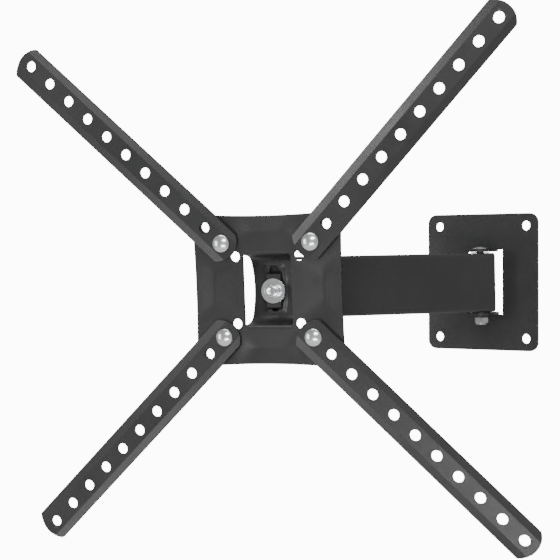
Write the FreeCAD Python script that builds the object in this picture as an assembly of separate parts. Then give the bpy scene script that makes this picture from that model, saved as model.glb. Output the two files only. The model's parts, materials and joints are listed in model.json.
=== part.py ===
"""Full motion wall mount: a wall plate, one swinging link arm, a swivel head and a tilting
television plate with four hole-row adapter arms.

Row frame: origin at the centre of the wall plate's back face, +X right, +Y into the wall, +Z up.
The assembly stands in its rest pose: arm swung to the left, head panned and tilted down a little.
"""

import FreeCAD, Part

import math
import os

V = FreeCAD.Vector
X = V(1, 0, 0)
Y = V(0, 1, 0)
Z = V(0, 0, 1)

# ---- rest pose, degrees ----
ARM_SWING = 40.7  # the arm's direction, left of the wall's normal
HEAD_PAN = 13.2  # the head's facing, right of the wall's normal
HEAD_TILT = 2.62  # the television plate's facing, below the head's own level
HINGE_LEAN = 0.99  # the wall hinge's axis, leaning to the arm's side under its weight
ADAPTER_ANGLES = {
    "upper_left": 137.5,
    "upper_right": 46.7,
    "lower_left": 224.3,
    "lower_right": -43.4,
}

# ---- running gaps ----
PIN_PLAY = 0.05  # radial play of a bolt in the piece that turns on it
FACE_PLAY = 0.1  # between faces that slide past each other
THROUGH = 60.0  # longer than any wall, for tools that cut right through
NECK_GAP = 0.1  # each side of a square neck in its hole

# ---- wall plate ----
WALL_W = 106.0
WALL_H = 120.8
WALL_T = 3.0
WALL_CORNER_R = 8.0
WALL_HOLE_SIDE = 11.0  # hole centres in from the plate's sides
WALL_HOLE_END = 10.9  # hole centres in from the top and bottom
WALL_HOLE_D = 8.5
WINDOW_RIGHT = 20.0  # window's free edge, right of the plate's centre
EAR_T = 2.6
EAR_SEAT = 0.5  # bent root of an ear within the plate's steel
EAR_ROOT_LEFT = 14.0
EAR_ROOT_RIGHT = 15.0
EAR_TIP_R = 9.0
HINGE_X = 8.0  # wall hinge axis, right of the plate's centre
HINGE_OUT = 19.0  # wall hinge axis, in front of the plate's front face

# ---- link arm ----
ARM_LENGTH = 176.3  # between its two hinge axes
ARM_H = 51.2
ARM_T = 2.5
INNER_BEND_R = 1.0
ARM_WEB_OUT = 11.0  # outer face of the web, in front of the hinge axes
ARM_FLANGE_BACK = 9.0  # flange edge, behind the hinge axes
ARM_END = 9.0  # channel beyond the wall hinge axis
ARM_END_R = 7.0  # rounding of the flanges' back corners
ARM_NOTCH = 20.0  # web cut away before the head hinge axis, for the head to swing
SPACER_T = 0.8
SPACER_EDGE = 1.0  # spacer inside the ear's tip

# ---- hinge bolts, 1/4 inch carriage pattern ----
BOLT_D = 6.35
BOLT_HEAD_D = 13.6
BOLT_HEAD_H = 2.4
BOLT_NECK_STEP = 0.55  # square neck over the shank
WASHER_D = 15.5
WASHER_T = 1.4
NUT_AF = 11.1
NUT_CHAMFER = 0.6  # share of a nut's corner that is turned off
LOCK_NUT_H = 6.2
LOCK_COLLAR_H = 1.4
LOCK_COLLAR_D = 9.99
DOME_RIM = 0.25  # straight share of a domed head's height
BOLT_PAST_NUT = 1.5
HINGE_PAST_NUT = 0.3

# ---- swivel head ----
HEAD_OFFSET = 48.4  # adapter arm mid-plane, in front of the head hinge axis
HEAD_DROP = 1.94  # tilt axis below the arm's middle
HEAD_TAB_T = 3.0
HEAD_TAB_R = 11.0
HEAD_HALF_W = 16.0
HEAD_FACE_T = 3.5
HEAD_FACE_DEG = 27.0
HEAD_REACH = 12.0  # blanks of the tabs and cheeks, in front of the face
CHEEK_T = 3.0
CHEEK_BACK = 4.0  # cheeks behind the face
PAD_T = 1.5
PAD_HALF_W = 14.0
PAD_END_DEG = 2.0  # pad short of the face's ends

# ---- television plate ----
ARM_BOLT_HALF = 38.5  # carriage bolts stand on a square of twice this
PLATE_EDGE_W = 11.24  # plate beyond the outer holes' centres, at its sides
PLATE_EDGE_H = 9.84  # the same at its top and bottom
PLATE_T = 2.5
PLATE_SIDE_DIP = 0.8
PLATE_TOP_DIP = 1.8
PLATE_CORNER_R = 12.0
INNER_HOLE_IN = 11.0  # inner holes inside the carriage bolts
RIB_VALLEY_OUT = 9.0  # pressed valleys outside the carriage bolts
RIB_TOP_SLOPE = 14.0  # valley to its inner foot, above and below the window
RIB_SIDE_SLOPE = 25.0  # the same beside the window
RIB_H = 2.2
RIB_OVER = 0.5  # rib blanks past the plate's edge
RIB_VALLEY_HALF = 18.0
RIB_FOOT_HALF = 25.0
SADDLE_HALF_W = 19.4
SADDLE_SIDE_GAP = 1.4
SADDLE_WINDOW_HALF_H = 28.4
SADDLE_DEPTH = 21.8
SADDLE_R = 45.0
SADDLE_CORNER_R = 11.0
SADDLE_WALL_LEAN = 12.0
SADDLE_BEND_R = 3.2
SLOT_W = 8.6
SLOT_HALF_DEG = 25.0
LIP_TOP_W = 2.2
LIP_SLOPE_W = 3.4
LIP_H = 1.3
LIP_SUNK = 0.4
EXTRA_HOLE_D = 8.5

# ---- tilt clamp, M6 socket head ----
TILT_BOLT_D = 6.0
TILT_HEAD_D = 10.0
TILT_HEAD_H = 6.0
TILT_HEAD_ROUND = 0.8
TILT_SOCKET_AF = 5.0
TILT_SOCKET_DEEP = 3.2
TILT_WASHER_D = 20.6
TILT_WASHER_T = 1.6
SPRING_WASHER_D = 11.8
SPRING_WASHER_T = 1.8
SPRING_SPLIT = 1.2
CLAMP_HALF_W = 6.2
CLAMP_HALF_H = 15.0
CLAMP_T = 6.2
TILT_NUT_AF = 10.0
TILT_NUT_H = 5.0
TILT_PAST_NUT = 1.0

# ---- adapter arms ----
ADAPTER_T = 2.0
ADAPTER_FLAT = 8.4
ADAPTER_STRIP = 6.6
ADAPTER_STRIP_DEG = 17.0
ADAPTER_INNER = 12.8  # steel beyond the carriage bolt
ADAPTER_OUTER = 12.0  # steel beyond the last hole
ADAPTER_END_R = 18.0
ADAPTER_FIRST = 19.6  # carriage bolt to the first hole
ADAPTER_PITCH = 23.2
ADAPTER_HOLES = 10
ADAPTER_HOLE_D = 9.0

# ---- adapter bolts, 1/4 inch carriage bolts ----
ARM_BOLT_HEAD_D = 14.6
ARM_BOLT_HEAD_H = 3.3
ARM_NUT_H = 5.6

# ---- places that follow from the sizes above ----
WALL_HOLES_X = WALL_W - 2 * WALL_HOLE_SIDE
WALL_HOLES_Z = WALL_H - 2 * WALL_HOLE_END
BOLT_NECK = BOLT_D + BOLT_NECK_STEP
OUTER_HOLE_HALF = ARM_BOLT_HALF + ADAPTER_FIRST / math.sqrt(2)  # under the arms' first holes at 45 degrees
INNER_HOLE_HALF = ARM_BOLT_HALF - INNER_HOLE_IN
PLATE_HALF_W = OUTER_HOLE_HALF + PLATE_EDGE_W
PLATE_HALF_H = OUTER_HOLE_HALF + PLATE_EDGE_H
RIB_VALLEY = ARM_BOLT_HALF + RIB_VALLEY_OUT
EAR_IN = ARM_H / 2 + SPACER_T + 2 * FACE_PLAY
EAR_OUT = EAR_IN + EAR_T
WALL_AXIS = V(HINGE_X, -(WALL_T + HINGE_OUT), 0)
SWING = math.radians(ARM_SWING)
HEAD_AXIS = WALL_AXIS + V(-math.sin(SWING), -math.cos(SWING), 0) * ARM_LENGTH
ARM_TURN = 270.0 - ARM_SWING
LEAN_AXIS = V(math.cos(SWING), -math.sin(SWING), 0)
TAB_OUT = ARM_H / 2 - ARM_T - SPACER_T - 2 * FACE_PLAY
PLATE_FRONT = ADAPTER_T / 2 + FACE_PLAY  # behind the adapter arms' mid-plane
SADDLE_AXIS_OUT = SADDLE_R - SADDLE_DEPTH - PLATE_FRONT  # tilt axis, in front of the mid-plane
SADDLE_BACK_R = SADDLE_R + PLATE_T
PAD_R = SADDLE_BACK_R + FACE_PLAY
FACE_R = PAD_R + PAD_T
TILT_CENTRE_OUT = HEAD_OFFSET + SADDLE_AXIS_OUT


# ---- placing ----


def turned(shape, base, axis, degrees):
    out = shape.copy()
    out.rotate(base, axis, degrees)
    return out


def moved(shape, step):
    out = shape.copy()
    out.translate(step)
    return out


def hang(shape):
    """Leans the ears and all that hangs from them with the wall hinge's axis."""
    return turned(shape, WALL_AXIS, LEAN_AXIS, HINGE_LEAN)


def on_arm(shape):
    """From the arm's own axes (+X to the head, +Y out of the web) to the row's."""
    return hang(moved(turned(shape, V(0, 0, 0), Z, ARM_TURN), WALL_AXIS))


def on_head(shape):
    """From the head's own axes (origin on its hinge, -Y the facing) to the row's."""
    return hang(moved(turned(shape, V(0, 0, 0), Z, HEAD_PAN), HEAD_AXIS))


def on_plate(shape):
    """From the television plate's axes (origin at its centre, -Y the facing) to the row's."""
    tilt_centre = V(0, -SADDLE_AXIS_OUT, 0)
    tilted = turned(shape, tilt_centre, X, HEAD_TILT)
    return on_head(moved(tilted, V(0, -HEAD_OFFSET, -HEAD_DROP)))


# ---- shapes ----


def rod(radius, start, direction, length):
    return Part.makeCylinder(radius, length, start, direction)


def ring(outer, inner, start, direction, length):
    return rod(outer, start, direction, length).cut(rod(inner, start, direction, length))


def block(x0, x1, y0, y1, z0, z1):
    return Part.makeBox(x1 - x0, y1 - y0, z1 - z0, V(x0, y0, z0))


def hexagon(across_flats, start, direction, length):
    radius = across_flats / math.sqrt(3)
    points = []
    for k in range(6):
        a = math.radians(60 * k)
        points.append(V(radius * math.cos(a), radius * math.sin(a), 0))
    points.append(points[0])
    prism = Part.Face(Part.makePolygon(points)).extrude(Z * length)
    prism.Placement = FreeCAD.Placement(start, FreeCAD.Rotation(Z, direction))
    return prism


def arc(centre, radius, a0, a1, place):
    """An arc in a flat (u, v) plane; place turns (u, v) into a point."""
    points = []
    for a in (a0, (a0 + a1) / 2, a1):
        r = math.radians(a)
        points.append(place(centre[0] + radius * math.cos(r), centre[1] + radius * math.sin(r)))
    return Part.Arc(*points).toShape()


def dome(head_d, head_h, start, direction):
    """A domed bolt head: a cap of a ball on a short straight rim."""
    rim = head_h * DOME_RIM
    rise = head_h - rim
    ball = (head_d**2 / 4 + rise**2) / (2 * rise)
    cap = Part.makeSphere(ball, V(0, 0, head_h - ball))
    cap = cap.common(rod(head_d / 2, V(0, 0, 0), Z, head_h))
    cap.Placement = FreeCAD.Placement(start, FreeCAD.Rotation(Z, direction))
    return cap


def carriage_bolt(head_d, head_h, start, direction, neck, length):
    """start is under the head; direction runs along the shank."""
    square = Part.makeBox(BOLT_NECK, BOLT_NECK, neck, V(-BOLT_NECK / 2, -BOLT_NECK / 2, 0))
    square.Placement = FreeCAD.Placement(start, FreeCAD.Rotation(Z, direction))
    head = dome(head_d, head_h, start, direction * -1)
    shank = rod(BOLT_D / 2, start, direction, length)
    return head.fuse(square).fuse(shank).removeSplitter()


def square_hole(start, direction, depth):
    side = BOLT_NECK + 2 * NECK_GAP
    hole = Part.makeBox(side, side, depth, V(-side / 2, -side / 2, 0))
    hole.Placement = FreeCAD.Placement(start, FreeCAD.Rotation(Z, direction))
    return hole


def nut(across_flats, height, bore_d, start, direction):
    """A hexagon nut with its corners turned off at both faces."""
    body = hexagon(across_flats, start, direction, height)
    point = across_flats / math.sqrt(3)
    slope = (point - across_flats / 2) * NUT_CHAMFER
    low = Part.makeCone(across_flats / 2, point, slope, V(0, 0, 0), Z)
    mid = rod(point, V(0, 0, slope), Z, height - 2 * slope)
    top = Part.makeCone(point, across_flats / 2, slope, V(0, 0, height - slope), Z)
    turned_blank = low.fuse([mid, top])
    turned_blank.Placement = FreeCAD.Placement(start, FreeCAD.Rotation(Z, direction))
    return body.common(turned_blank).cut(rod(bore_d / 2, start, direction, height))


def lock_nut(start, direction):
    """The hexagon part of a locking nut with its round collar."""
    hex_h = LOCK_NUT_H - LOCK_COLLAR_H
    collar = ring(LOCK_COLLAR_D / 2, BOLT_D / 2, start + direction * hex_h, direction, LOCK_COLLAR_H)
    return nut(NUT_AF, hex_h, BOLT_D, start, direction).fuse(collar)


# ---- wall plate ----


def make_wall_plate():
    half_w = WALL_W / 2
    half_h = WALL_H / 2
    plate = block(-half_w, half_w, -WALL_T, 0, -half_h, half_h)
    upright = [e for e in plate.Edges if abs(e.tangentAt(e.FirstParameter).y) > 0.9]
    plate = plate.makeFillet(WALL_CORNER_R, upright)
    window_z = EAR_OUT - EAR_SEAT
    window = block(-EAR_ROOT_LEFT, WINDOW_RIGHT, -WALL_T - 1, 1, -window_z, window_z)
    plate = plate.cut(window)
    for x in (-WALL_HOLES_X / 2, WALL_HOLES_X / 2):
        for z in (-WALL_HOLES_Z / 2, WALL_HOLES_Z / 2):
            plate = plate.cut(rod(WALL_HOLE_D / 2, V(x, 1, z), Y * -1, WALL_T + 2))
    for side in (1, -1):
        plate = plate.fuse(hang(make_ear(side)))
    return plate.removeSplitter()


def make_ear(side):
    """A lug bent out of the window's edge: a straight root and sides that run to a round tip."""
    tip = WALL_AXIS
    left = V(-EAR_ROOT_LEFT, -WALL_T / 2, 0)
    right = V(EAR_ROOT_RIGHT, -WALL_T / 2, 0)

    def touch(corner, turn):
        """Where a line from a corner of the root touches the tip's circle."""
        to_tip = tip - corner
        away = to_tip.Length
        bend = math.degrees(math.asin(EAR_TIP_R / away)) * turn
        run = FreeCAD.Rotation(Z, bend).multVec(to_tip)
        run.normalize()
        return corner + run * math.sqrt(away**2 - EAR_TIP_R**2)

    t_left = touch(left, -1)
    t_right = touch(right, 1)
    crown = tip + V(0, -EAR_TIP_R, 0)
    outline = [
        Part.LineSegment(right, left).toShape(),
        Part.LineSegment(left, t_left).toShape(),
        Part.Arc(t_left, crown, t_right).toShape(),
        Part.LineSegment(t_right, right).toShape(),
    ]
    ear = Part.Face(Part.Wire(outline)).extrude(Z * EAR_T)
    step = EAR_IN if side > 0 else -EAR_OUT
    ear = moved(ear, V(0, 0, step))
    bend_box = block(-EAR_ROOT_LEFT, EAR_ROOT_RIGHT, -WALL_T, 0, 0, EAR_T)
    root = moved(bend_box, V(0, 0, step))
    ear = ear.fuse(root)
    if side > 0:
        return ear.cut(square_hole(WALL_AXIS + Z * (EAR_OUT + 1), Z * -1, EAR_T + 2))
    return ear.cut(rod(BOLT_D / 2 + PIN_PLAY, WALL_AXIS - Z * (EAR_OUT + 1), Z, EAR_T + 2))


# ---- link arm ----


def make_link_arm():
    """A channel: its web faces +Y, its flanges reach back past the hinge axes."""
    flange_w = ARM_FLANGE_BACK + ARM_WEB_OUT
    tip_y = (ARM_WEB_OUT - ARM_FLANGE_BACK) / 2
    far = ARM_LENGTH + flange_w / 2
    half = ARM_H / 2
    outer = block(-ARM_END, far, -ARM_FLANGE_BACK, ARM_WEB_OUT, -half, half)
    long_edges = []
    for e in outer.Edges:
        mid = e.CenterOfMass
        if abs(e.tangentAt(e.FirstParameter).x) > 0.9 and mid.y > 0:
            long_edges.append(e)
    outer = outer.makeFillet(ARM_T + INNER_BEND_R, long_edges)
    inner_z = half - ARM_T
    inner = block(-ARM_END - 1, far + 1, -ARM_FLANGE_BACK - 1, ARM_WEB_OUT - ARM_T, -inner_z, inner_z)
    inner_edges = []
    for e in inner.Edges:
        mid = e.CenterOfMass
        if abs(e.tangentAt(e.FirstParameter).x) > 0.9 and mid.y > 0:
            inner_edges.append(e)
    inner = inner.makeFillet(INNER_BEND_R, inner_edges)
    arm = outer.cut(inner)
    ends = []
    for e in arm.Edges:
        mid = e.CenterOfMass
        upright = abs(e.tangentAt(e.FirstParameter).z) > 0.9 and abs(e.Length - ARM_T) < 0.01
        if upright and mid.y < -ARM_FLANGE_BACK + 0.01 and mid.x < 0:
            ends.append(e)
    arm = arm.makeFillet(ARM_END_R, ends)
    notch_y = ARM_WEB_OUT - ARM_T - INNER_BEND_R
    arm = arm.cut(block(ARM_LENGTH - ARM_NOTCH, far + 1, notch_y, ARM_WEB_OUT + 1, -inner_z, inner_z))
    tip = block(ARM_LENGTH, far + 1, -flange_w, flange_w, -ARM_H, ARM_H)
    arm = arm.cut(tip.cut(rod(flange_w / 2, V(ARM_LENGTH, tip_y, -ARM_H), Z, 2 * ARM_H)))
    arm = arm.cut(rod(BOLT_D / 2 + PIN_PLAY, V(0, 0, -half - 1), Z, ARM_H + 2))
    arm = arm.cut(rod(BOLT_D / 2, V(ARM_LENGTH, 0, -half - 1), Z, ARM_T + 2))
    arm = arm.cut(square_hole(V(ARM_LENGTH, 0, half + 1), Z * -1, ARM_T + 2))
    return on_arm(arm)


def make_spacer(axis, z):
    return hang(ring(EAR_TIP_R - SPACER_EDGE, BOLT_D / 2 + PIN_PLAY, V(axis.x, axis.y, z), Z, SPACER_T))


def make_wall_hinge():
    top = WALL_AXIS + Z * EAR_OUT
    under = WALL_AXIS - Z * EAR_OUT
    length = 2 * EAR_OUT + WASHER_T + LOCK_NUT_H + HINGE_PAST_NUT
    bolt = carriage_bolt(BOLT_HEAD_D, BOLT_HEAD_H, top, Z * -1, EAR_T, length)
    washer = ring(WASHER_D / 2, BOLT_D / 2, under - Z * WASHER_T, Z, WASHER_T)
    return hang(bolt), hang(washer), hang(lock_nut(under - Z * WASHER_T, Z * -1))


# ---- swivel head ----


def saddle_ring(r_in, r_out, half_w, half_deg, centre_y):
    """A piece of a tube about the tilt axis, centred on the tilt bolt."""
    length = 2 * half_w
    start = V(-half_w, centre_y, 0)
    piece = ring(r_out, r_in, start, X, length)
    far = r_out + 10
    a = math.radians(half_deg)
    wedge = Part.makePolygon(
        [
            V(-half_w, centre_y, 0),
            V(-half_w, centre_y + far * math.cos(a), far * math.sin(a)),
            V(-half_w, centre_y + 2 * far, 0),
            V(-half_w, centre_y + far * math.cos(a), -far * math.sin(a)),
            V(-half_w, centre_y, 0),
        ]
    )
    return piece.common(Part.Face(wedge).extrude(X * length))


def make_swivel_head():
    """Two tabs on the hinge bolt, joined by two cheeks and a curved face."""
    drop = V(0, 0, -HEAD_DROP)
    face = moved(
        saddle_ring(FACE_R, FACE_R + HEAD_FACE_T, HEAD_HALF_W, HEAD_FACE_DEG, -TILT_CENTRE_OUT), drop
    )
    face_y = -TILT_CENTRE_OUT + FACE_R
    tabs = []
    for side in (1, -1):
        z0 = TAB_OUT - HEAD_TAB_T if side > 0 else -TAB_OUT
        tab = block(-HEAD_TAB_R, HEAD_TAB_R, face_y - HEAD_REACH, 0, z0, z0 + HEAD_TAB_T)
        tabs.append(tab.fuse(rod(HEAD_TAB_R, V(0, 0, z0), Z, HEAD_TAB_T)))
    hollow = moved(rod(FACE_R, V(-THROUGH / 2, -TILT_CENTRE_OUT, 0), X, THROUGH), drop)
    cheek_back = face_y + HEAD_FACE_T + CHEEK_BACK
    cheeks = block(-HEAD_TAB_R, HEAD_TAB_R, face_y - HEAD_REACH, cheek_back, -TAB_OUT, TAB_OUT)
    between = HEAD_TAB_R - CHEEK_T
    cheeks = cheeks.cut(block(-between, between, face_y - THROUGH, cheek_back + 1, -THROUGH, THROUGH))
    head = face.fuse([tab.cut(hollow) for tab in tabs] + [cheeks.cut(hollow)])
    head = head.cut(rod(BOLT_D / 2 + PIN_PLAY, V(0, 0, -ARM_H), Z, 2 * ARM_H))
    tilt_hole = V(0, -TILT_CENTRE_OUT, -HEAD_DROP)
    head = head.cut(rod(TILT_BOLT_D / 2, tilt_hole, Y, FACE_R + HEAD_FACE_T + CHEEK_BACK))
    return on_head(head.removeSplitter())


def make_friction_pad():
    half_deg = HEAD_FACE_DEG - PAD_END_DEG
    pad = saddle_ring(PAD_R, FACE_R, PAD_HALF_W, half_deg, -TILT_CENTRE_OUT)
    pad = pad.cut(rod(TILT_BOLT_D / 2, V(0, -TILT_CENTRE_OUT, 0), Y, 2 * FACE_R))
    return on_head(moved(pad, V(0, 0, -HEAD_DROP)))


def make_head_hinge():
    half = ARM_H / 2
    top = HEAD_AXIS + Z * half
    under = HEAD_AXIS - Z * half
    length = 2 * half + WASHER_T + LOCK_NUT_H + HINGE_PAST_NUT
    bolt = carriage_bolt(BOLT_HEAD_D, BOLT_HEAD_H, top, Z * -1, ARM_T, length)
    bolt.rotate(HEAD_AXIS, Z, ARM_TURN)
    washer = ring(WASHER_D / 2, BOLT_D / 2, under - Z * WASHER_T, Z, WASHER_T)
    return hang(bolt), hang(washer), hang(lock_nut(under - Z * WASHER_T, Z * -1))


# ---- tilt clamp, on the head ----


def make_tilt_clamp():
    """Clamp block, flat washer, spring washer, socket screw and nut on the tilt bolt's axis."""
    centre = V(0, -TILT_CENTRE_OUT, -HEAD_DROP)
    block_out = SADDLE_R - LIP_H - FACE_PLAY
    block_in = block_out - CLAMP_T
    half_deg = math.degrees(math.asin(CLAMP_HALF_H / block_out))
    clamp = saddle_ring(block_in / 2, block_out, CLAMP_HALF_W, half_deg, -TILT_CENTRE_OUT)
    seat = TILT_CENTRE_OUT - block_in
    front = block(-CLAMP_HALF_W - 1, CLAMP_HALF_W + 1, -TILT_CENTRE_OUT, -seat, -THROUGH, THROUGH)
    clamp = moved(clamp.cut(front), V(0, 0, -HEAD_DROP))
    clamp = clamp.cut(rod(TILT_BOLT_D / 2, centre, Y, FACE_R))
    seat_point = V(0, -seat, -HEAD_DROP)
    washer = ring(TILT_WASHER_D / 2, TILT_BOLT_D / 2, seat_point, Y * -1, TILT_WASHER_T)
    spring_point = seat_point - Y * TILT_WASHER_T
    spring = ring(SPRING_WASHER_D / 2, TILT_BOLT_D / 2, spring_point, Y * -1, SPRING_WASHER_T)
    half_split = SPRING_SPLIT / 2
    spring_back = spring_point.y - SPRING_WASHER_T - 1
    split = block(-half_split, half_split, spring_back, spring_point.y + 1, 0, SPRING_WASHER_D)
    spring = spring.cut(moved(split, V(0, 0, -HEAD_DROP)))
    head_point = spring_point - Y * SPRING_WASHER_T
    head = rod(TILT_HEAD_D / 2, head_point, Y * -1, TILT_HEAD_H)
    rim = [e for e in head.Edges if abs(e.CenterOfMass.y - head_point.y + TILT_HEAD_H) < 0.01]
    head = head.makeFillet(TILT_HEAD_ROUND, rim)
    socket_y = head_point.y - TILT_HEAD_H - 1
    socket = hexagon(TILT_SOCKET_AF, V(0, socket_y, -HEAD_DROP), Y, TILT_SOCKET_DEEP + 1)
    back = -TILT_CENTRE_OUT + FACE_R + HEAD_FACE_T
    length = back - head_point.y + TILT_NUT_H + TILT_PAST_NUT
    screw = head.cut(socket).fuse(rod(TILT_BOLT_D / 2, head_point, Y, length))
    tilt_nut = nut(TILT_NUT_AF, TILT_NUT_H, TILT_BOLT_D, V(0, back, -HEAD_DROP), Y)
    return {
        "tilt_clamp_block": on_head(clamp),
        "tilt_washer": on_head(washer),
        "tilt_spring_washer": on_head(spring),
        "tilt_screw": on_head(screw),
        "tilt_nut": on_head(tilt_nut),
    }


# ---- television plate ----


def plate_outline(half_w, half_h):
    """A square with each side drawn in a little at its middle."""
    corners = [(half_w, half_h), (-half_w, half_h), (-half_w, -half_h), (half_w, -half_h)]
    edges = []
    for k in range(4):
        x0, z0 = corners[k]
        x1, z1 = corners[(k + 1) % 4]
        if z0 == z1:
            mid = V(0, 0, z0 - math.copysign(PLATE_TOP_DIP, z0))
        else:
            mid = V(x0 - math.copysign(PLATE_SIDE_DIP, x0), 0, 0)
        edges.append(Part.Arc(V(x0, 0, z0), mid, V(x1, 0, z1)).toShape())
    return Part.Face(Part.Wire(edges))


def rib(length_axis, slope, far):
    """A pressed valley's hollow: a roof shape that points back, its base on the plate's front.

    Its inner foot stands slope inside the valley's line and its outer one past the plate's edge.
    """
    foot = RIB_VALLEY - slope
    base = [
        (-RIB_FOOT_HALF, foot),
        (RIB_FOOT_HALF, foot),
        (RIB_FOOT_HALF, far),
        (-RIB_FOOT_HALF, far),
    ]
    valley = [(-RIB_VALLEY_HALF, RIB_VALLEY), (RIB_VALLEY_HALF, RIB_VALLEY)]

    def at(pair, deep):
        u, v = pair
        if length_axis == "x":
            return V(u, PLATE_FRONT + deep, v)
        return V(v, PLATE_FRONT + deep, -u)

    b = [at(p, 0) for p in base]
    c = [at(p, RIB_H) for p in valley]
    loops = [
        [b[0], b[3], b[2], b[1]],
        [b[0], b[1], c[1], c[0]],
        [b[2], b[3], c[0], c[1]],
        [b[1], b[2], c[1]],
        [b[3], b[0], c[0]],
    ]
    faces = [Part.Face(Part.makePolygon(loop + [loop[0]])) for loop in loops]
    solid = Part.makeSolid(Part.makeShell(faces))
    if solid.Volume < 0:
        solid.reverse()
    return solid


def saddle_curve(offset):
    """The saddle's side section from the plate to the middle, moved out by offset.

    Distances: v up the plate, d behind the plate's front. A plate bend, a leaning wall, a
    corner and the tilt arc follow each other with common tangents.
    """
    lean = math.radians(SADDLE_WALL_LEAN)
    normal = (math.cos(lean), math.sin(lean))  # out of the wall, away from the middle
    tilt_centre = (0.0, SADDLE_DEPTH - SADDLE_R)
    base = (SADDLE_WINDOW_HALF_H + math.tan(lean) * SADDLE_BEND_R, 0.0)
    # the corner's centre is its radius in from the wall and touches the tilt arc from inside
    gap = SADDLE_R - SADDLE_CORNER_R
    start = (base[0] - normal[0] * SADDLE_CORNER_R, base[1] - normal[1] * SADDLE_CORNER_R)
    run = (-math.sin(lean), math.cos(lean))
    rel = (start[0] - tilt_centre[0], start[1] - tilt_centre[1])
    b = rel[0] * run[0] + rel[1] * run[1]
    c = rel[0] ** 2 + rel[1] ** 2 - gap**2
    along = -b + math.sqrt(b * b - c)
    corner = (start[0] + run[0] * along, start[1] + run[1] * along)
    # the bend's centre is behind the plate's front and outside the wall
    shift = (SADDLE_BEND_R + (SADDLE_BEND_R - base[1]) * -normal[1]) / normal[0]
    bend = (base[0] + shift, SADDLE_BEND_R)
    big = SADDLE_R + offset
    small = SADDLE_CORNER_R + offset
    outer_bend = SADDLE_BEND_R - offset
    to_corner = math.degrees(math.atan2(corner[1] - tilt_centre[1], corner[0]))
    wall_deg = math.degrees(lean)
    return {
        "tilt": (tilt_centre, big, to_corner),
        "corner": (corner, small, wall_deg, to_corner),
        "bend": (bend, outer_bend, 180 + wall_deg, 270.0),
    }


def half_section(offset, place, sign):
    """Edges from the plate's face to the middle of the saddle, on one side."""

    def spot(u, v):
        return place(sign * u, v)

    s = saddle_curve(offset)
    bend, bend_r, b0, b1 = s["bend"]
    corner, corner_r, c0, c1 = s["corner"]
    tilt, tilt_r, t0 = s["tilt"]
    bend_arc = arc(bend, bend_r, b1, b0, spot)
    corner_arc = arc(corner, corner_r, c0, c1, spot)
    wall_top = bend_arc.valueAt(bend_arc.LastParameter)
    wall_foot = corner_arc.valueAt(corner_arc.FirstParameter)
    wall = Part.LineSegment(wall_top, wall_foot)
    tilt_arc = arc(tilt, tilt_r, t0, 90.0, spot)
    return [bend_arc, wall.toShape(), corner_arc, tilt_arc]


def make_saddle():
    """The hollow behind the plate's window, its side section carried across."""

    def place(u, v):
        return V(-SADDLE_HALF_W, PLATE_FRONT + v, u)

    front = half_section(0.0, place, 1) + half_section(0.0, place, -1)
    back = half_section(PLATE_T, place, 1) + half_section(PLATE_T, place, -1)
    ends = []
    for sign in (1, -1):
        f = half_section(0.0, place, sign)[0].Vertexes[0].Point
        b = half_section(PLATE_T, place, sign)[0].Vertexes[0].Point
        ends.append(Part.LineSegment(f, b).toShape())
    wire = Part.Wire(Part.__sortEdges__(front + back + ends))
    return Part.Face(wire).extrude(X * 2 * SADDLE_HALF_W)


def make_lip(side):
    """The raised border along one side of the tilt slot: a flat top and an outer slope."""
    centre_y = -SADDLE_AXIS_OUT
    u0 = SLOT_W / 2
    u1 = u0 + LIP_TOP_W
    u2 = u1 + LIP_SLOPE_W
    points = [
        V(side * u0, centre_y + SADDLE_R - LIP_H, 0),
        V(side * u1, centre_y + SADDLE_R - LIP_H, 0),
        V(side * u2, centre_y + SADDLE_R, 0),
        V(side * u2, centre_y + SADDLE_R + LIP_SUNK, 0),
        V(side * u0, centre_y + SADDLE_R + LIP_SUNK, 0),
    ]
    face = Part.Face(Part.makePolygon(points + [points[0]]))
    face.rotate(V(0, centre_y, 0), X, -SLOT_HALF_DEG)
    return face.revolve(V(0, centre_y, 0), X, 2 * SLOT_HALF_DEG)


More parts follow.
